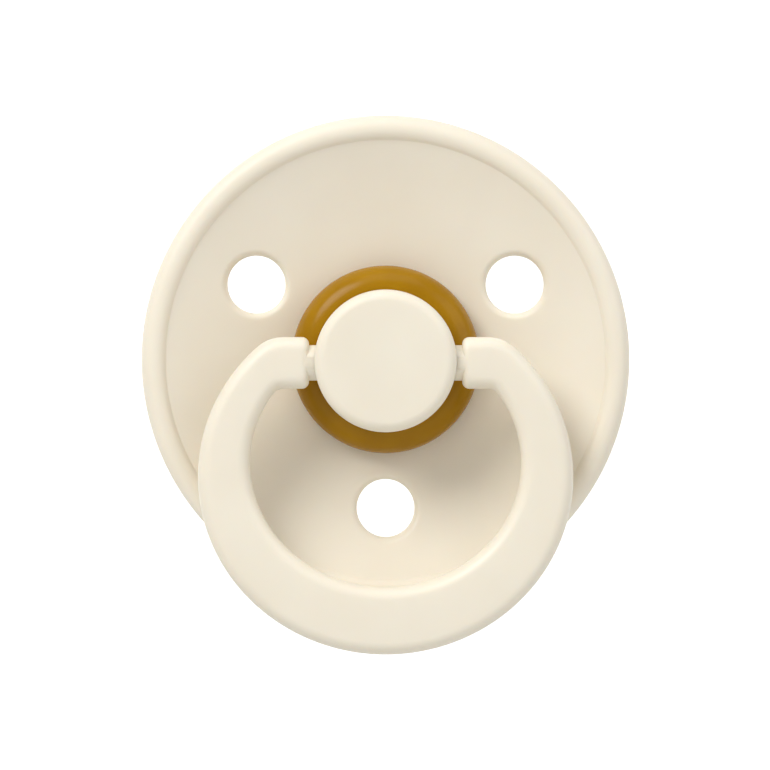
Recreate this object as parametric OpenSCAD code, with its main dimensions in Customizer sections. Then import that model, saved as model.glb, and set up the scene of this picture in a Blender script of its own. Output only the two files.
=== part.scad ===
// Round-shield baby pacifier with a natural rubber teat and a swinging ring handle.
// Frame: +Z up, the front (knob side) faces -Y, the teat points along +Y.
// Origin: on the axis of the shield, at the middle of its face towards the mouth.

/* [Shield] */
// Diameter over the rim
shield_d = 43; // [42:0.5:46]
// Thickness of the plate
shield_t = 2; // [1.8:0.1:2.2]
// Radius of the sphere that the front face is dished to
dish_r = 52; // [50:1:58]
// Radius of the rounded bead that runs along the rim
bead_r = 1.15; // [1.1:0.05:1.2]
// Radius of the fillet between the bead and the dish
bead_fillet = 0.22; // [0.2:0.02:0.3]
// Diameter of the hole that the teat passes through
neck_hole_d = 9.8; // [9.6:0.1:10]
// Number of ventilation holes
vent_count = 3; // [2:1:3]
// Diameter of a ventilation hole
vent_d = 5.1; // [5:0.1:5.8]
// Radius of the circle that the ventilation holes sit on
vent_circle_r = 13.2; // [12.8:0.1:13.6]

/* [Teat] */
// Length from the shield to the tip
teat_length = 28; // [26:0.5:30]
// Diameter of the bulb
bulb_d = 14.6; // [14:0.2:16]
// Diameter of the slim part of the neck
neck_d = 9.2; // [9:0.1:9.6]
// Thickness of the rubber
teat_wall = 1.2; // [1:0.1:1.3]
// Diameter of the collar in front of the shield
collar_d = 16.6; // [16.2:0.1:17]
// Thickness of the collar
collar_t = 3.4; // [3.2:0.1:3.4]

/* [Knob] */
// Diameter of the knob
knob_d = 12.4; // [12.3:0.1:12.6]
// Height of the knob in front of the collar
knob_h = 5.6; // [5.5:0.1:6]
// Radius of the knob's front edge
knob_round = 1.1; // [0.8:0.1:1.2]
// Thickness of the cap's walls
cap_wall = 1.15; // [1:0.05:1.2]

/* [Ring handle] */
// Half of the ring's width and of its height, outside
ring_outer = [16.4, 15.55];
// Half of the opening's width and of its height
ring_inner = [11.85, 10.85];
// Height of the outer and of the inner oval's middle, from the pivot
ring_drop = [-9.95, -8.75];
// Thickness of the ring from front to back
ring_t = 3.2; // [3:0.1:3.3]
// Radius of the ring's long edges
ring_round = 1.15; // [0.8:0.05:1.3]
// Height of the block at each end of the ring
block_h = 4.5; // [4.2:0.1:4.6]
// Gap between the two blocks
block_gap = 13.4; // [13.2:0.1:14]
// Diameter of the pivot pins
pin_d = 3.1; // [2.9:0.1:3.2]

/* [Hidden] */
$fn = 96;

cream = [0.94, 0.91, 0.83];
plug_white = [0.93, 0.9, 0.84];
amber = [0.7, 0.5, 0.18];

shield_r = shield_d / 2;
seat_r = 8;               // flat seat in the middle of both faces, under the collar
back_r = dish_r + shield_t;
rim_edge_r = 0.9;         // rounding of the rim towards the mouth
bead_step = 0.06;         // how far the bead's centre lies in front of that rounding's centre
hole_edge_r = 0.3;        // rounding of the neck hole
vent_angle = 30;          // first ventilation hole, above the horizontal

collar_r = collar_d / 2;
collar_back_y = -shield_t;
collar_front_y = collar_back_y - collar_t;
collar_round = 2.2;       // the collar's rounded front edge
collar_back_round = 0.9;
swell_y = 1.7;            // where the neck is widest, over the plug's barb
swell_r = 5.5;
neck_start_y = 7;         // the slim part of the neck runs from here
neck_end_y = 9;           // to here
bulb_end = 7.8;           // length of the bulb's round end
bulb_y = teat_length - bulb_end;

stem_r = neck_hole_d / 2 - teat_wall;
barb_r = swell_r - teat_wall;
barb_end_y = 3.6;         // the stem's end, inside the teat
barb_end_r = 2.9;
barb_bevel = [0.5, 0.35]; // bevel of that end's edge, across and along
air_r = 1;                // air passage through the stem
cross_air_r = 0.8;

knob_r = knob_d / 2;
knob_front_y = collar_front_y - knob_h;
cap_inside_y = knob_front_y + cap_wall;
cap_inside_r = knob_r - cap_wall;
cap_edge_r = 0.25;        // rounding of the cap's edge against the collar
slip = 0.05;              // play between the cap and the plug
snap_y = collar_front_y - 1; // middle of the bead that the cap clips over
snap_h = 0.2;
snap_half_w = 0.4;

pin_r = pin_d / 2;
pin_play = 0.07;          // gap all round a pin in its seat
seat_pin_r = pin_r + pin_play;
pivot_depth = 2.7;        // from the knob's face to the pins' axis
pivot_y = knob_front_y + pivot_depth;
pivot_z = -0.2;           // the pins sit a little below the knob's middle
block_x = block_gap / 2;
pin_end_x = 3.5;
pin_root_x = block_x + 1;
seat_end_x = pin_end_x - 0.1;
ear_half_w = seat_pin_r - slip;
ear_top_y = pivot_y + 0.7;
block_end_round = 0.6;
shoulder_blend = [0.9, 0.6]; // softness of the corner where each oval meets its block

// Depth of a dish of radius big at the distance r from its axis
function sag(r, big) = big - sqrt(big * big - r * r);
// Points on an arc about c, from the angle a to the angle b
function arc(c, r, a, b, n) = [for (i = [0:n]) let (t = mix(a, b, i / n)) c + r * [cos(t), sin(t)]];
// Angle of the direction from p to q, taken between -270 and 90 so that it runs on over the front
function bearing(p, q) = let (a = atan2(q[1] - p[1], q[0] - p[0])) a > 90 ? a - 360 : a;
// The crossing of two circles that lies nearer to the axis
function crossing(p, rp, q, rq) =
    let (d = norm(q - p), u = (q - p) / d, side = [-u[1], u[0]])
    let (a = (rp * rp - rq * rq + d * d) / (2 * d), h = sqrt(rp * rp - a * a))
    let (one = p + a * u + h * side, two = p + a * u - h * side)
    one[0] < two[0] ? one : two;
// The smaller of a and b, with a rounded change from one to the other
function soft_min(a, b, k) = min(a, b) - pow(max(k - abs(a - b), 0), 2) / (4 * k);
function mix(a, b, t) = a + (b - a) * t;
// A smooth step from 0 to 1
function ease(t) = (1 - cos(180 * t)) / 2;

// Turns a profile of [radius, y] points about the Y axis
module turned(points) {
    rotate([-90, 0, 0]) rotate_extrude() polygon(points);
}

// A cylinder along X, from x = a to x = b, at the height of the pivot
module on_pivot(r, a, b) {
    translate([min(a, b), pivot_y, pivot_z]) rotate([0, 90, 0]) cylinder(r = r, h = abs(b - a));
}

// ---- shield ----

// Centres of the two faces' spheres and of the arcs along the rim, as [radius, y]
front_c = [0, -shield_t + sag(seat_r, dish_r) - dish_r];
back_c = [0, sag(seat_r, back_r) - back_r];
rim_back_c = [shield_r - rim_edge_r,
              back_c[1] + sqrt(pow(back_r - rim_edge_r, 2) - pow(shield_r - rim_edge_r, 2))];
bead_c = [shield_r - bead_r, rim_back_c[1] - bead_step];
fillet_c = crossing(front_c, dish_r - bead_fillet, bead_c, bead_r + bead_fillet);

function shield_profile() =
    let (hole_r = neck_hole_d / 2, e = hole_edge_r)
    let (dish_end = bearing(front_c, fillet_c), dish_start = acos(seat_r / dish_r))
    let (back_end = bearing(back_c, rim_back_c), back_start = acos(seat_r / back_r))
    let (fillet_a = dish_end + 360, fillet_b = bearing(fillet_c, bead_c))
    concat(
        arc([hole_r + e, -shield_t + e], e, 180, 270, 4),
        arc(front_c, dish_r, dish_start, dish_end, 12),
        arc(fillet_c, bead_fillet, dish_end, fillet_b, 5),
        arc(bead_c, bead_r, fillet_b - 180, 0, 14),
        arc(rim_back_c, rim_edge_r, 0, back_end, 8),
        arc(back_c, back_r, back_end, back_start, 12),
        arc([hole_r + e, -e], e, 90, 180, 4)
    );

module shield() {
    color(cream) difference() {
        turned(shield_profile());
        for (i = [0:vent_count - 1])
            rotate([0, -vent_angle - i * 360 / vent_count, 0])
                translate([vent_circle_r, 1, 0]) rotate([90, 0, 0]) cylinder(d = vent_d, h = 8);
    }
}

// ---- teat ----

// Outer radius of the teat at the depth y, from the shield to the bulb's widest place
function teat_r(y) =
    let (neck_r = neck_d / 2, hole_r = neck_hole_d / 2)
    y < swell_y ? hole_r + (swell_r - hole_r) * sin(90 * y / swell_y) :
    y < neck_start_y ? mix(swell_r, neck_r, ease((y - swell_y) / (neck_start_y - swell_y))) :
    y < neck_end_y ? neck_r :
    mix(neck_r, bulb_d / 2, ease((y - neck_end_y) / (bulb_y - neck_end_y)));

// Depths at which the swelling, the neck and the start of the bulb are drawn
teat_ys = concat([for (i = [0:6]) i * swell_y / 6], [for (i = [1:7]) mix(swell_y, neck_start_y, i / 7)],
                 [for (i = [0:14]) mix(neck_end_y, bulb_y, i / 14)]);

function reversed(list) = [for (i = [len(list) - 1:-1:0]) list[i]];
// The bulb's round end: a quarter of an oval from its widest place to the tip
function teat_end(r, depth, n = 14) =
    [for (i = [1:n]) [i == n ? 0 : r * cos(90 * i / n), bulb_y + depth * sin(90 * i / n)]];

function teat_profile() =
    let (inside_r = bulb_d / 2 - teat_wall)
    concat(
        [[stem_r, collar_front_y]],
        arc([collar_r - collar_round, collar_front_y + collar_round], collar_round, -90, 0, 10),
        arc([collar_r - collar_back_round, collar_back_y - collar_back_round], collar_back_round, 0, 90, 6),
        [[neck_hole_d / 2, collar_back_y]],
        [for (y = teat_ys) [teat_r(y), y]],
        teat_end(bulb_d / 2, bulb_end),
        reversed(teat_end(inside_r, bulb_end - teat_wall)),
        reversed([for (y = teat_ys) [teat_r(y) - teat_wall, y]])
    );

module teat() {
    color(amber) turned(teat_profile());
}

// ---- locking plug: stem, barb and the half seats of the pivot pins ----

function plug_profile() = [
    [air_r, barb_end_y], [barb_end_r, barb_end_y],
    [barb_end_r + barb_bevel[0], barb_end_y - barb_bevel[1]], [barb_r, swell_y], [stem_r, 0],
    [stem_r, collar_front_y], [cap_inside_r - slip, collar_front_y],
    [cap_inside_r - slip, snap_y + snap_half_w], [cap_inside_r - slip + snap_h, snap_y],
    [cap_inside_r - slip, snap_y - snap_half_w], [cap_inside_r - slip, cap_inside_y],
    [0, cap_inside_y], [0, pivot_y + cross_air_r], [air_r, pivot_y + cross_air_r]
];

// The two ears that fill the cap's slots behind the pins
module ears() {
    intersection() {
        turned([[0, collar_front_y], [knob_r - slip, collar_front_y],
                [knob_r - slip, ear_top_y], [0, ear_top_y]]);
        translate([-knob_r, ear_top_y, pivot_z - ear_half_w])
            cube([knob_d, collar_front_y - ear_top_y, 2 * ear_half_w]);
    }
}

module locking_plug() {
    color(plug_white) difference() {
        union() {
            turned(plug_profile());
            difference() {
                ears();
                turned([[0, 0], [stem_r, 0], [stem_r, knob_front_y], [0, knob_front_y]]);
            }
        }
        for (side = [-1, 1]) {
            on_pivot(seat_pin_r, side * seat_end_x, side * (knob_r + 1));
            translate([side > 0 ? seat_end_x : -knob_r - 1, cap_inside_y - 1, pivot_z - seat_pin_r])
                cube([knob_r + 1 - seat_end_x, pivot_y - cap_inside_y + 1, 2 * seat_pin_r]);
        }
        on_pivot(cross_air_r, -seat_end_x - 0.1, seat_end_x + 0.1);
    }
}

// ---- knob cap ----

function cap_profile() = concat(
    [[0, knob_front_y]],
    arc([knob_r - knob_round, knob_front_y + knob_round], knob_round, -90, 0, 8),
    arc([knob_r - cap_edge_r, collar_front_y - cap_edge_r], cap_edge_r, 0, 90, 3),
    [[cap_inside_r, collar_front_y], [cap_inside_r, snap_y + snap_half_w], [cap_inside_r + snap_h, snap_y],
     [cap_inside_r, snap_y - snap_half_w], [cap_inside_r, cap_inside_y], [0, cap_inside_y]]
);

module knob_cap() {
    color(cream) difference() {
        turned(cap_profile());
        for (side = [-1, 1]) {
            on_pivot(seat_pin_r, side * (cap_inside_r - 1), side * (knob_r + 1));
            translate([side > 0 ? cap_inside_r - 1 : -knob_r - 1, pivot_y, pivot_z - seat_pin_r])
                cube([cap_wall + 2, collar_front_y - pivot_y + 1, 2 * seat_pin_r]);
        }
    }
}

// ---- ring handle ----

stations = 72;            // sections along the ring
corner_points = 4;        // steps round each edge of a section
block_half_h = block_h / 2;

// Angle on an oval at which its upper left branch reaches the block's end face
function end_angle(half_w, x) = acos(-x / half_w);
// A point [x, z] on the outer (which = 0) or inner (which = 1) outline, from t = 0 at the left block
// to t = 1 at the right one, where x is the distance from the axis at which the outline ends
function outline(which, t, x) =
    let (oval = which == 0 ? ring_outer : ring_inner, start = end_angle(oval[0], x))
    let (a = mix(start, 540 - start, t), level = which == 0 ? block_half_h : -block_half_h)
    [oval[0] * cos(a), soft_min(ring_drop[which] + oval[1] * sin(a), level, shoulder_blend[which])];

// A closed rounded section across the ring: from the inner to the outer outline, drawn in by inset
function section(t, x, inset) =
    let (p = outline(1, t, x), q = outline(0, t, x), u = (q - p) / norm(q - p), m = (p + q) / 2)
    let (w = norm(q - p) / 2 - inset, h = ring_t / 2 - inset, r = max(ring_round - inset, 0.3))
    [for (corner = [0:3], i = [0:corner_points])
        let (a = 90 * (corner + i / corner_points))
        let (sx = corner == 0 || corner == 3 ? 1 : -1, sy = corner < 2 ? 1 : -1)
        let (s = sx * (w - r) + r * cos(a), d = sy * (h - r) + r * sin(a))
        [m[0] + u[0] * s, pivot_y + d, pivot_z + m[1] + u[1] * s]];

// Rounded ends: [distance from the end face, how far the section is drawn in]
end_steps = [for (a = [0, 30, 60]) block_end_round * [1 - cos(a), 1 - sin(a)]];

ring_sections = concat(
    [for (s = end_steps) section(0, block_x + s[0], s[1])],
    [for (i = [0:stations]) section(i / stations, block_x + block_end_round, 0)],
    [for (s = reversed(end_steps)) section(1, block_x + s[0], s[1])]
);

// Skins a list of closed sections that have the same number of points
module skin(sections) {
    n = len(sections[0]);
    last = len(sections) - 1;
    points = [for (s = sections, p = s) p];
    sides = [for (j = [0:last - 1], i = [0:n - 1], k = [0:1])
        let (a = j * n + i, b = j * n + (i + 1) % n)
        k == 0 ? [a, a + n, b] : [b, a + n, b + n]];
    caps = [[for (i = [0:n - 1]) i], [for (i = [n - 1:-1:0]) last * n + i]];
    polyhedron(points, concat(sides, caps));
}

module ring_handle() {
    color(cream) {
        skin(ring_sections);
        for (side = [-1, 1])
            on_pivot(pin_r, side * pin_end_x, side * pin_root_x);
    }
}

shield();
teat();
locking_plug();
knob_cap();
ring_handle();
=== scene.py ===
# A round-shield pacifier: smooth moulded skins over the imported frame, and a white studio.
from math import acos, atan2, cos, hypot, pi, radians, sin, sqrt

import bmesh
import bpy
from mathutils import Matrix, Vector
from mathutils.geometry import delaunay_2d_cdt


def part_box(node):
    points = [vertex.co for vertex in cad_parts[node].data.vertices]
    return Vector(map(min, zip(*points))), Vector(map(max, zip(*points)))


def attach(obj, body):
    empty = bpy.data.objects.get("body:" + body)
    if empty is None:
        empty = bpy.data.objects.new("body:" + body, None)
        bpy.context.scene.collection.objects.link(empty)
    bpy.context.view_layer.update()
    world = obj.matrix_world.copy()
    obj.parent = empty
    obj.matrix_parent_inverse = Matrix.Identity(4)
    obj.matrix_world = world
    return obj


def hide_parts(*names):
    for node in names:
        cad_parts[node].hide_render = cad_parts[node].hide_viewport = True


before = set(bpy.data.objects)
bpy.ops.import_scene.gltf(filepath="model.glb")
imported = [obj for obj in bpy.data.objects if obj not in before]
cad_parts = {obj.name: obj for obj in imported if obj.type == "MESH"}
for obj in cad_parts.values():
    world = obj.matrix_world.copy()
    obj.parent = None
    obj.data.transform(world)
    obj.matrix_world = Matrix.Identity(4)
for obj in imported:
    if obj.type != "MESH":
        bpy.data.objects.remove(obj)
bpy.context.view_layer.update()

MM = 0.001
BODY, RING = "pacifier_body", "ring"


def node_box(name):
    """A CAD node's lowest and highest corners, in millimetres."""
    low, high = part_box(name)
    return [v / MM for v in low], [v / MM for v in high]


shield_low, shield_high = node_box("shield")
teat_low, teat_high = node_box("teat")
knob_low, knob_high = node_box("knob_cap")
ring_low, ring_high = node_box("ring_handle")

# ---------- sizes in millimetres, the CAD part's except where marked ----------

SHIELD_R = shield_high[0]
SHIELD_T = 2.0
SEAT_R = 8.0  # flat seat under the collar
DISH_R = 52.0  # the sphere that the front face is dished to
BACK_R = DISH_R + SHIELD_T
RIM_EDGE = 0.9  # rounding of the rim towards the mouth
BEAD_R = 1.15
BEAD_FILLET = 0.22
BEAD_STEP = 0.06  # how far the bead's centre lies in front of that rounding's centre
NECK_HOLE_R = 4.9
HOLE_EDGE = 0.3
VENT_R = 2.55
VENT_AT = 13.2
VENT_ANGLES = (30, 150, 270)
VENT_FRONT_EDGE, VENT_BACK_EDGE = 0.6, 0.4  # rounding of a vent's two mouths, only in these meshes
FRONT_SEAT_BLEND, BACK_SEAT_BLEND = 0.25, 0.3  # softness where seat and dish meet, only in these meshes

COLLAR_R = teat_high[0]
COLLAR_FRONT = teat_low[1]
COLLAR_BACK = -SHIELD_T
COLLAR_ROUND, COLLAR_BACK_ROUND = 2.2, 0.9
TEAT_TIP = teat_high[1]
TEAT_WALL = 1.2
BULB_R = 7.3
BULB_END = 7.8  # length of the bulb's round end
BULB_Y = TEAT_TIP - BULB_END
NECK_R = 4.6
SWELL_Y, SWELL_R = 1.7, 5.5
NECK_START, NECK_END = 7.0, 9.0
STEM_R = NECK_HOLE_R - TEAT_WALL

KNOB_R = knob_high[0]
KNOB_FRONT = knob_low[1]
CAP_WALL = 1.15
KNOB_ROUND, KNOB_BACK_ROUND = 0.95, 0.25  # the first is 1.1 in the CAD part

PIVOT_Y = (ring_low[1] + ring_high[1]) / 2
RING_T = ring_high[1] - ring_low[1]
PIVOT_Z = -0.2
RING_OUTER, RING_INNER = (16.4, 15.55), (11.85, 10.85)
RING_DROP = (-9.95, -8.75)
RING_ROUND = 1.15
BLOCK_HALF, BLOCK_X, BLOCK_ROUND = 2.25, 6.7, 0.6
SHOULDER = (0.9, 0.6)
PIN_R, PIN_END = 1.55, 3.5
SLOT_HALF = PIN_R + 0.07


def mix(a, b, t):
    return a + (b - a) * t


def ease(t):
    return (1 - cos(pi * t)) / 2


def soft_min(a, b, k):
    """The smaller of a and b, with a rounded change from one to the other."""
    return min(a, b) - max(k - abs(a - b), 0) ** 2 / (4 * k)


def arc(cx, cy, r, a, b, n):
    """Points on a circle from the angle a to b in degrees, both included."""
    steps = [radians(a + (b - a) * i / n) for i in range(n + 1)]
    return [(cx + r * cos(s), cy + r * sin(s)) for s in steps]


def circle(cx, cy, r, n):
    """n points round a whole circle."""
    steps = [2 * pi * i / n for i in range(n)]
    return [(cx + r * cos(t), cy + r * sin(t)) for t in steps]


# ---------- mesh helpers ----------


def make_object(name, verts, faces, smooth_angle=None):
    """A mesh object from points in millimetres, with its faces turned outwards and shaded smooth."""
    mesh = bpy.data.meshes.new(name)
    mesh.from_pydata([(x * MM, y * MM, z * MM) for x, y, z in verts], [], faces)
    bm = bmesh.new()
    bm.from_mesh(mesh)
    bmesh.ops.remove_doubles(bm, verts=bm.verts, dist=1e-7)
    bmesh.ops.recalc_face_normals(bm, faces=bm.faces)
    bm.to_mesh(mesh)
    bm.free()
    obj = bpy.data.objects.new(name, mesh)
    bpy.context.scene.collection.objects.link(obj)
    shade(obj, smooth_angle)
    return obj


def shade(obj, angle=None):
    """Smooth shading, with edges sharper than the angle kept sharp."""
    mesh = obj.data
    mesh.polygons.foreach_set("use_smooth", [True] * len(mesh.polygons))
    if angle:
        mesh.set_sharp_from_angle(angle=radians(angle))
    mesh.update()


def lathe(profile, n):
    """A closed [radius, y] profile turned about the Y axis."""
    verts, faces, rows = [], [], []
    for r, y in profile:
        if r < 1e-6:
            rows.append([len(verts)] * n)
            verts.append((0, y, 0))
        else:
            rows.append(list(range(len(verts), len(verts) + n)))
            verts += [(x, y, z) for x, z in circle(0, 0, r, n)]
    for a, b in zip(rows, rows[1:] + rows[:1]):
        for i in range(n):
            j = (i + 1) % n
            face = [a[i], a[j], b[j], b[i]]
            face = [v for k, v in enumerate(face) if v != face[k - 1]]
            if len(face) > 2:
                faces.append(face)
    return verts, faces


def along_x(profile, n, side):
    """An open [x, radius] profile turned about the pivot's axis, with its ends closed."""
    verts, faces = [], []
    for x, r in profile:
        verts += [(side * x, y, z) for y, z in circle(PIVOT_Y, PIVOT_Z, r, n)]
    for row in range(len(profile) - 1):
        for i in range(n):
            j = (i + 1) % n
            faces.append((row * n + i, row * n + j, (row + 1) * n + j, (row + 1) * n + i))
    last = (len(profile) - 1) * n
    faces.append(tuple(range(n)))
    faces.append(tuple(last + i for i in reversed(range(n))))
    return verts, faces


def combine(obj, tools, operation):
    """Adds or cuts other closed meshes exactly, applies the result and removes the tools."""
    for tool in tools:
        cut = obj.modifiers.new("cut", "BOOLEAN")
        cut.operation, cut.solver, cut.object = operation, "EXACT", tool
    done = bpy.data.meshes.new_from_object(obj.evaluated_get(bpy.context.evaluated_depsgraph_get()))
    obj.modifiers.clear()
    obj.data = done
    for tool in tools:
        bpy.data.objects.remove(tool)


# ---------- shield ----------

# depths of the centres of the two faces' spheres
FRONT_C = -SHIELD_T + (DISH_R - sqrt(DISH_R**2 - SEAT_R**2)) - DISH_R
BACK_C = (BACK_R - sqrt(BACK_R**2 - SEAT_R**2)) - BACK_R
VENTS = [(VENT_AT * cos(radians(a)), VENT_AT * sin(radians(a))) for a in VENT_ANGLES]
SHIELD_TURNS, VENT_TURNS = 240, 96  # points round the shield and round a vent
VENT_STEPS = 7  # rows of points in a vent's rounding
NET_STEP = 0.42  # spacing of the net's rings


def front_y(r):
    return soft_min(FRONT_C + sqrt(DISH_R**2 - r * r), -SHIELD_T, FRONT_SEAT_BLEND)


def back_y(r):
    return soft_min(BACK_C + sqrt(BACK_R**2 - r * r), 0, BACK_SEAT_BLEND)


def rim_profile():
    """From the dish's edge over the bead to the back face's edge, as [radius, y]."""
    edge_r = SHIELD_R - RIM_EDGE
    back = (edge_r, BACK_C + sqrt((BACK_R - RIM_EDGE) ** 2 - edge_r**2))
    bead = (SHIELD_R - BEAD_R, back[1] - BEAD_STEP)
    big, small = DISH_R - BEAD_FILLET, BEAD_R + BEAD_FILLET
    d = hypot(bead[0], bead[1] - FRONT_C)
    ux, uy = bead[0] / d, (bead[1] - FRONT_C) / d
    along = (big * big - small * small + d * d) / (2 * d)
    off = sqrt(big * big - along * along)
    # of the two places for the fillet's centre, the one nearer to the axis
    fillet = min((along * ux - s * off * uy, FRONT_C + along * uy + s * off * ux) for s in (-1, 1))
    start = atan2(fillet[1] - FRONT_C, fillet[0]) * 180 / pi
    turn = atan2(bead[1] - fillet[1], bead[0] - fillet[0]) * 180 / pi
    back_end = atan2(back[1] - BACK_C, back[0]) * 180 / pi
    points = arc(*fillet, BEAD_FILLET, start, turn, 8)
    points += arc(*bead, BEAD_R, turn - 180, 0, 26)[1:]
    points += arc(*back, RIM_EDGE, 0, back_end, 16)
    return points


def face_net(height, r_in, r_out, vent_edge, turns):
    """One face of the shield as a flat net round the neck hole and the vents, raised to its surface.

    Returns its points and triangles, and the rings of points along the neck hole, the rim and each vent.
    """
    flat, edges, loops = [], [], []
    mouth_r = VENT_R + vent_edge

    def loop(cx, cz, r, n):
        first = len(flat)
        flat.extend(Vector(p) for p in circle(cx, cz, r, n))
        edges.extend((first + i, first + (i + 1) % n) for i in range(n))
        loops.append(list(range(first, first + n)))

    loop(0, 0, r_in, turns)
    loop(0, 0, r_out, turns)
    for cx, cz in VENTS:
        loop(cx, cz, mouth_r, VENT_TURNS)
    for cx, cz in VENTS:
        for grow in (0.2, 0.45, 0.75):
            loop(cx, cz, mouth_r + grow, VENT_TURNS)
    steps = round((r_out - r_in) / NET_STEP)
    for k in range(1, steps):
        r = mix(r_in, r_out, k / steps)
        for i in range(turns):
            angle = 2 * pi * (i + 0.5 * (k % 2)) / turns
            x, z = r * cos(angle), r * sin(angle)
            if all(hypot(x - cx, z - cz) > mouth_r + 1.0 for cx, cz in VENTS):
                flat.append(Vector((x, z)))
    out, _, tris, came_from, _, _ = delaunay_2d_cdt(flat, edges, [], 0, 1e-6)
    index = {}
    for new, olds in enumerate(came_from):
        for old in olds:
            index[old] = new
    kept = []
    for tri in tris:
        x, z = sum(out[v][0] for v in tri) / 3, sum(out[v][1] for v in tri) / 3
        if not r_in < hypot(x, z) < r_out:
            continue
        # a chord of a vent's edge runs a little inside its circle
        if all(hypot(x - cx, z - cz) > mouth_r * 0.9995 for cx, cz in VENTS):
            kept.append(tuple(tri))
    verts = [(p[0], height(hypot(p[0], p[1])), p[1]) for p in out]
    return verts, kept, [[index[v] for v in ring] for ring in loops[: 2 + len(VENTS)]]


def vent_rounding(cx, cz, edge, height, side):
    """Rows of points from one face of the shield down into a vent."""
    rows = []
    for step in range(1, VENT_STEPS + 1):
        a = radians(90 * step / VENT_STEPS)
        points = circle(cx, cz, VENT_R + edge * (1 - sin(a)), VENT_TURNS)
        rows.append([(x, height(hypot(x, z)) + side * edge * (1 - cos(a)), z) for x, z in points])
    return rows


def build_shield():
    turns = SHIELD_TURNS
    rim = rim_profile()
    hole_r = NECK_HOLE_R + HOLE_EDGE
    verts, faces, front = face_net(front_y, hole_r, rim[0][0], VENT_FRONT_EDGE, turns)
    back_verts, back_faces, back = face_net(back_y, hole_r, rim[-1][0], VENT_BACK_EDGE, turns)
    shift = len(verts)
    verts += back_verts
    faces += [tuple(v + shift for v in f) for f in back_faces]
    back = [[v + shift for v in ring] for ring in back]

    def bridge(first, last, rows):
        """Joins two rings through rows of points between them."""
        rings = [first]
        for row in rows:
            rings.append(list(range(len(verts), len(verts) + len(row))))
            verts.extend(row)
        rings.append(last)
        for a, b in zip(rings, rings[1:]):
            n = len(a)
            faces.extend((a[i], a[(i + 1) % n], b[(i + 1) % n], b[i]) for i in range(n))

    def turned(points):
        return [[(x, y, z) for x, z in circle(0, 0, r, turns)] for r, y in points]

    bridge(front[1], back[1], turned(rim[1:-1]))
    inner = arc(hole_r, -SHIELD_T + HOLE_EDGE, HOLE_EDGE, 270, 180, 6)[1:]
    inner += arc(hole_r, -HOLE_EDGE, HOLE_EDGE, 180, 90, 6)[:-1]
    bridge(front[0], back[0], turned(inner))
    for k, (cx, cz) in enumerate(VENTS, 2):
        rows = vent_rounding(cx, cz, VENT_FRONT_EDGE, front_y, 1)
        rows += reversed(vent_rounding(cx, cz, VENT_BACK_EDGE, back_y, -1))
        bridge(front[k], back[k], rows)
    used = sorted({v for f in faces for v in f})
    place = {v: i for i, v in enumerate(used)}
    faces = [tuple(place[v] for v in f) for f in faces]
    return make_object("shield_skin", [verts[v] for v in used], faces, 50)


# ---------- teat ----------


def teat_radius(y):
    if y < SWELL_Y:
        return mix(NECK_HOLE_R, SWELL_R, sin(pi / 2 * y / SWELL_Y))
    if y < NECK_START:
        return mix(SWELL_R, NECK_R, ease((y - SWELL_Y) / (NECK_START - SWELL_Y)))
    if y < NECK_END:
        return NECK_R
    return mix(NECK_R, BULB_R, ease((y - NECK_END) / (BULB_Y - NECK_END)))


def build_teat():
    neck_steps, end_steps = 90, 30
    depths = [BULB_Y * i / neck_steps for i in range(neck_steps + 1)]
    quarter = [pi / 2 * i / end_steps for i in range(1, end_steps)]
    profile = [(STEM_R, COLLAR_FRONT), (KNOB_R - 0.6, COLLAR_FRONT)]
    profile += arc(COLLAR_R - COLLAR_ROUND, COLLAR_FRONT + COLLAR_ROUND, COLLAR_ROUND, -90, 0, 26)
    back = COLLAR_BACK_ROUND
    profile += arc(COLLAR_R - back, COLLAR_BACK - back, back, 0, 90, 12)
    profile += [(NECK_HOLE_R, COLLAR_BACK)]
    profile += [(teat_radius(y), y) for y in depths]
    profile += [(BULB_R * cos(a), BULB_Y + BULB_END * sin(a)) for a in quarter]
    profile += [(0, TEAT_TIP), (0, TEAT_TIP - TEAT_WALL)]
    inside_r, inside_end = BULB_R - TEAT_WALL, BULB_END - TEAT_WALL
    profile += [(inside_r * cos(a), BULB_Y + inside_end * sin(a)) for a in reversed(quarter)]
    profile += [(teat_radius(y) - TEAT_WALL, y) for y in reversed(depths)]
    verts, faces = lathe(profile, 160)
    return make_object("teat_skin", verts, faces, 50)


# ---------- knob ----------


def pin_slot(side, x_from, x_to):
    """A closed cutter for a pin's slot: round at the front, straight on towards the collar."""
    arch = [radians(a) for a in range(-90, 91, 5)]
    shape = [(PIVOT_Y - SLOT_HALF * cos(a), SLOT_HALF * sin(a)) for a in arch]
    shape += [(COLLAR_FRONT + 1, SLOT_HALF), (COLLAR_FRONT + 1, -SLOT_HALF)]
    n = len(shape)
    verts = [(side * x, y, PIVOT_Z + z) for x in (x_from, x_to) for y, z in shape]
    faces = [(i, (i + 1) % n, n + (i + 1) % n, n + i) for i in range(n)]
    faces += [tuple(range(n)), tuple(n + i for i in reversed(range(n)))]
    return make_object("slot", verts, faces)


def build_knob():
    inner_r = KNOB_R - CAP_WALL
    inside_y = KNOB_FRONT + CAP_WALL
    profile = [(r, KNOB_FRONT) for r in (0, 1.5, 3.0, 4.2)]
    profile += arc(KNOB_R - KNOB_ROUND, KNOB_FRONT + KNOB_ROUND, KNOB_ROUND, -90, 0, 16)
    back = KNOB_BACK_ROUND
    profile += arc(KNOB_R - back, COLLAR_FRONT - back, back, 0, 90, 5)
    profile += [(inner_r, COLLAR_FRONT), (inner_r, inside_y), (0, inside_y)]
    verts, faces = lathe(profile, 160)
    obj = make_object("knob_skin", verts, faces, 40)
    combine(obj, [pin_slot(side, inner_r - 1, KNOB_R + 1) for side in (-1, 1)], "DIFFERENCE")
    shade(obj, 35)
    return obj


# ---------- ring ----------


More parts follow.
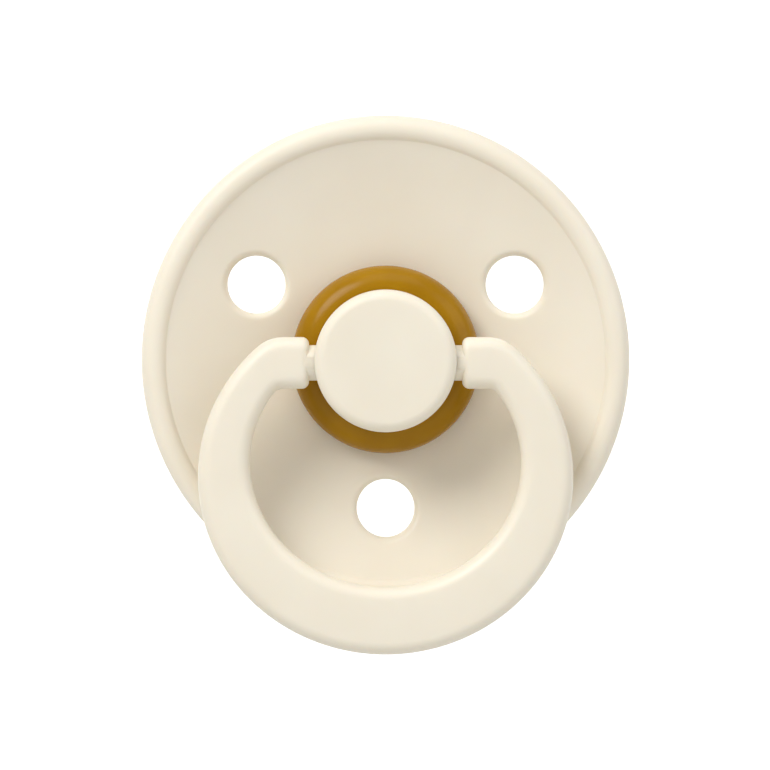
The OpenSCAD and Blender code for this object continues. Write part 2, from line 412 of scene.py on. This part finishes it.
def ring_point(which, t, x):
    """A point on the outer (0) or inner (1) outline, from the left block at t = 0 to the right at 1."""
    half_w, half_h = RING_OUTER if which == 0 else RING_INNER
    start = acos(-x / half_w)
    a = mix(start, 3 * pi - start, t)
    level = BLOCK_HALF if which == 0 else -BLOCK_HALF
    return half_w * cos(a), soft_min(RING_DROP[which] + half_h * sin(a), level, SHOULDER[which])


def ring_section(t, x, inset):
    """A closed rounded section across the ring, drawn in by inset."""
    p, q = Vector(ring_point(1, t, x)), Vector(ring_point(0, t, x))
    u, m = (q - p).normalized(), (p + q) / 2
    w, h = (q - p).length / 2 - inset, RING_T / 2 - inset
    r = max(RING_ROUND - inset, 0.3)
    out = []
    for corner in range(4):
        sx, sy = (1 if corner in (0, 3) else -1), (1 if corner < 2 else -1)
        for i in range(11):
            a = radians(90 * corner + 9 * i)
            s, d = sx * (w - r) + r * cos(a), sy * (h - r) + r * sin(a)
            out.append((m.x + u.x * s, PIVOT_Y + d, PIVOT_Z + m.y + u.y * s))
    return out


def build_ring():
    stations = 260
    # the rounding of each end: the distance from the end face, and how far the section is drawn in there
    turn = [radians(a) for a in range(0, 90, 10)]
    ends = [(BLOCK_ROUND * (1 - cos(a)), BLOCK_ROUND * (1 - sin(a))) for a in turn]
    rows = [ring_section(0, BLOCK_X + away, inset) for away, inset in ends]
    rows += [ring_section(i / stations, BLOCK_X + BLOCK_ROUND, 0) for i in range(stations + 1)]
    rows += [ring_section(1, BLOCK_X + away, inset) for away, inset in reversed(ends)]
    n = len(rows[0])
    verts = [p for row in rows for p in row]
    faces = []
    for k in range(len(rows) - 1):
        for i in range(n):
            j = (i + 1) % n
            faces.append((k * n + i, (k + 1) * n + i, (k + 1) * n + j, k * n + j))
    faces += [tuple(range(n)), tuple((len(rows) - 1) * n + i for i in reversed(range(n)))]
    obj = make_object("ring_skin", verts, faces, 50)
    pins = []
    for side in (-1, 1):
        profile = [(PIN_END, PIN_R - 0.25), (PIN_END + 0.08, PIN_R - 0.08), (PIN_END + 0.25, PIN_R)]
        profile += [(BLOCK_X + 1, PIN_R)]
        pin_verts, pin_faces = along_x(profile, 64, side)
        pins.append(make_object("pin", pin_verts, pin_faces))
    combine(obj, pins, "UNION")
    shade(obj, 40)
    return obj


# ---------- materials ----------


def srgb(r, g, b):
    """A colour of 0 to 255 levels as the linear colour that a shader takes."""

    def line(c):
        c /= 255
        return c / 12.92 if c <= 0.04045 else ((c + 0.055) / 1.055) ** 2.4

    return (line(r), line(g), line(b), 1)


def material(name):
    """A node material, with its parts: the material, its nodes, links, shader and object coordinates."""
    mat = bpy.data.materials.new(name)
    mat.use_nodes = True
    nodes, links = mat.node_tree.nodes, mat.node_tree.links
    shader = nodes["Principled BSDF"]
    coords = nodes.new("ShaderNodeTexCoord")
    return mat, nodes, links, shader, coords


def noise(nodes, links, coords, scale, detail, rough=0.55):
    tex = nodes.new("ShaderNodeTexNoise")
    tex.inputs["Scale"].default_value = scale
    tex.inputs["Detail"].default_value = detail
    tex.inputs["Roughness"].default_value = rough
    links.new(coords.outputs["Object"], tex.inputs["Vector"])
    return tex


def ramp(nodes, links, value, stops):
    """A colour that runs between two stops, each a place and a colour."""
    node = nodes.new("ShaderNodeValToRGB")
    for element, (place, colour) in zip(node.color_ramp.elements, stops):
        element.position, element.color = place, colour
    links.new(value, node.inputs["Fac"])
    return node.outputs["Color"]


def spread(nodes, links, value, low, high):
    """A value of 0 to 1 spread over low to high."""
    node = nodes.new("ShaderNodeMapRange")
    node.inputs["To Min"].default_value, node.inputs["To Max"].default_value = low, high
    links.new(value, node.inputs["Value"])
    return node.outputs["Result"]


def bump(nodes, links, height, strength, distance, under=None):
    node = nodes.new("ShaderNodeBump")
    node.inputs["Strength"].default_value = strength
    node.inputs["Distance"].default_value = distance
    links.new(height, node.inputs["Height"])
    if under:
        links.new(under, node.inputs["Normal"])
    return node.outputs["Normal"]


def cream_plastic(name, dark, light, roughness):
    """Moulded polypropylene: even cream, a soft satin face with a very fine grain and slow, faint waves."""
    mat, nodes, links, shader, coords = material(name)
    slow = noise(nodes, links, coords, 90, 2).outputs["Fac"]
    tint = ramp(nodes, links, slow, [(0.35, dark), (0.65, light)])
    links.new(tint, shader.inputs["Base Color"])
    patches = noise(nodes, links, coords, 700, 3).outputs["Fac"]
    links.new(spread(nodes, links, patches, roughness - 0.05, roughness + 0.06), shader.inputs["Roughness"])
    grain = noise(nodes, links, coords, 9000, 2).outputs["Fac"]
    wave = bump(nodes, links, slow, 0.25, 0.04 * MM)
    links.new(bump(nodes, links, grain, 0.22, 0.01 * MM, wave), shader.inputs["Normal"])
    shader.inputs["Subsurface Weight"].default_value = 0.22
    shader.inputs["Subsurface Radius"].default_value = (1.0, 0.72, 0.42)
    shader.inputs["Subsurface Scale"].default_value = 0.0012
    shader.inputs["IOR"].default_value = 1.49
    shader.inputs["Specular IOR Level"].default_value = 0.42
    return mat


def amber_rubber(name):
    """Natural rubber: honey-coloured and a little cloudy, with a soft shine."""
    mat, nodes, links, shader, coords = material(name)
    cloud = noise(nodes, links, coords, 260, 2, 0.5).outputs["Fac"]
    tint = ramp(nodes, links, cloud, [(0.25, srgb(150, 107, 1)), (0.75, srgb(163, 119, 5))])
    links.new(tint, shader.inputs["Base Color"])
    fine = noise(nodes, links, coords, 2600, 3).outputs["Fac"]
    wave = bump(nodes, links, cloud, 0.2, 0.05 * MM)
    links.new(bump(nodes, links, fine, 0.03, 0.01 * MM, wave), shader.inputs["Normal"])
    links.new(spread(nodes, links, fine, 0.18, 0.28), shader.inputs["Roughness"])
    shader.inputs["Subsurface Weight"].default_value = 0.12
    shader.inputs["Subsurface Radius"].default_value = (1.0, 0.45, 0.1)
    shader.inputs["Subsurface Scale"].default_value = 0.0018
    shader.inputs["IOR"].default_value = 1.52
    shader.inputs["Specular IOR Level"].default_value = 0.15
    return mat


CREAM_DARK, CREAM_LIGHT = srgb(235, 227, 210), srgb(238, 231, 215)
cream = cream_plastic("cream_plastic", CREAM_DARK, CREAM_LIGHT, 0.42)
cream_ring = cream_plastic("cream_plastic_ring", CREAM_DARK, CREAM_LIGHT, 0.38)
inner = cream_plastic("inner_plastic", srgb(236, 226, 202), srgb(240, 230, 208), 0.5)
rubber = amber_rubber("amber_rubber")

for build, node, body, mat, slot in (
    (build_shield, "shield", BODY, cream, "cream_plastic"),
    (build_teat, "teat", BODY, rubber, "amber_rubber"),
    (build_knob, "knob_cap", BODY, cream, "cream_plastic"),
    (build_ring, "ring_handle", RING, cream_ring, "cream_plastic"),
):
    piece = build()
    piece.data.materials.clear()
    piece.data.materials.append(mat)
    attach(piece, body)
    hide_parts(node)

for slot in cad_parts["locking_plug"].material_slots:
    slot.material = inner

# ---------- studio ----------


def area_light(name, at, target, size, power, colour=(1, 1, 1)):
    data = bpy.data.lights.new(name, "AREA")
    data.shape, data.size, data.energy, data.color = "DISK", size, power, colour
    light = bpy.data.objects.new(name, data)
    light.location = at
    light.rotation_euler = (Vector(target) - Vector(at)).to_track_quat("-Z", "Y").to_euler()
    bpy.context.scene.collection.objects.link(light)


def white_sweep():
    """A floor that curves up into a backdrop far behind, which glows so that it comes out white."""
    floor_z, front, back, top, half_width, bend = -0.13, -1.4, 0.8, 1.3, 1.6, 0.3
    line = [(front, floor_z), (back - bend, floor_z)]
    line += arc(back - bend, floor_z + bend, bend, -84, 0, 14)
    line += [(back, top)]
    verts = [(x, y, z) for y, z in line for x in (-half_width, half_width)]
    faces = [(2 * i, 2 * i + 1, 2 * i + 3, 2 * i + 2) for i in range(len(line) - 1)]
    mesh = bpy.data.meshes.new("white_sweep")
    mesh.from_pydata(verts, [], faces)
    mesh.polygons.foreach_set("use_smooth", [True] * len(faces))
    obj = bpy.data.objects.new("white_sweep", mesh)
    bpy.context.scene.collection.objects.link(obj)
    mat, nodes, links, shader, coords = material("white_paper")
    shader.inputs["Base Color"].default_value = (0.68, 0.68, 0.67, 1)
    shader.inputs["Roughness"].default_value = 0.9
    shader.inputs["Emission Color"].default_value = (1, 1, 1, 1)
    place = nodes.new("ShaderNodeSeparateXYZ")
    glow = nodes.new("ShaderNodeMapRange")
    glow.inputs["From Min"].default_value, glow.inputs["From Max"].default_value = 0.1, 0.65
    glow.inputs["To Min"].default_value, glow.inputs["To Max"].default_value = 0.0, 0.7
    links.new(coords.outputs["Object"], place.inputs["Vector"])
    links.new(place.outputs["Y"], glow.inputs["Value"])
    links.new(glow.outputs["Result"], shader.inputs["Emission Strength"])
    mesh.materials.append(mat)


white_sweep()
area_light("key", (-0.38, -0.42, 0.46), (0, 0, -0.004), 0.42, 3.25, (1, 0.985, 0.955))
area_light("fill", (0.62, -0.36, 0.3), (0, 0, -0.004), 0.7, 1.5)
area_light("top", (0.05, -0.26, 0.7), (0, 0, -0.004), 0.6, 1.1)

world = bpy.data.worlds.new("studio")
world.use_nodes = True
world.node_tree.nodes["Background"].inputs["Color"].default_value = (1, 1, 1, 1)
world.node_tree.nodes["Background"].inputs["Strength"].default_value = 0.42
bpy.context.scene.world = world
bpy.context.scene.view_settings.view_transform = "Standard"

# the camera looks a little down at aim, a point near the axis and level with the front of the rim
reach, view_width, tilt = 0.4436, 0.0677, radians(1.5)
aim = Vector((-0.00005, shield_low[1] * MM, -0.0022))
camera_data = bpy.data.cameras.new("camera")
camera_data.sensor_width = 36
camera_data.lens = camera_data.sensor_width * reach / view_width
camera = bpy.data.objects.new("camera", camera_data)
camera.location = aim + reach * Vector((0, -cos(tilt), sin(tilt)))
camera.rotation_euler = (pi / 2 - tilt, 0, 0)
bpy.context.scene.collection.objects.link(camera)
bpy.context.scene.camera = camera
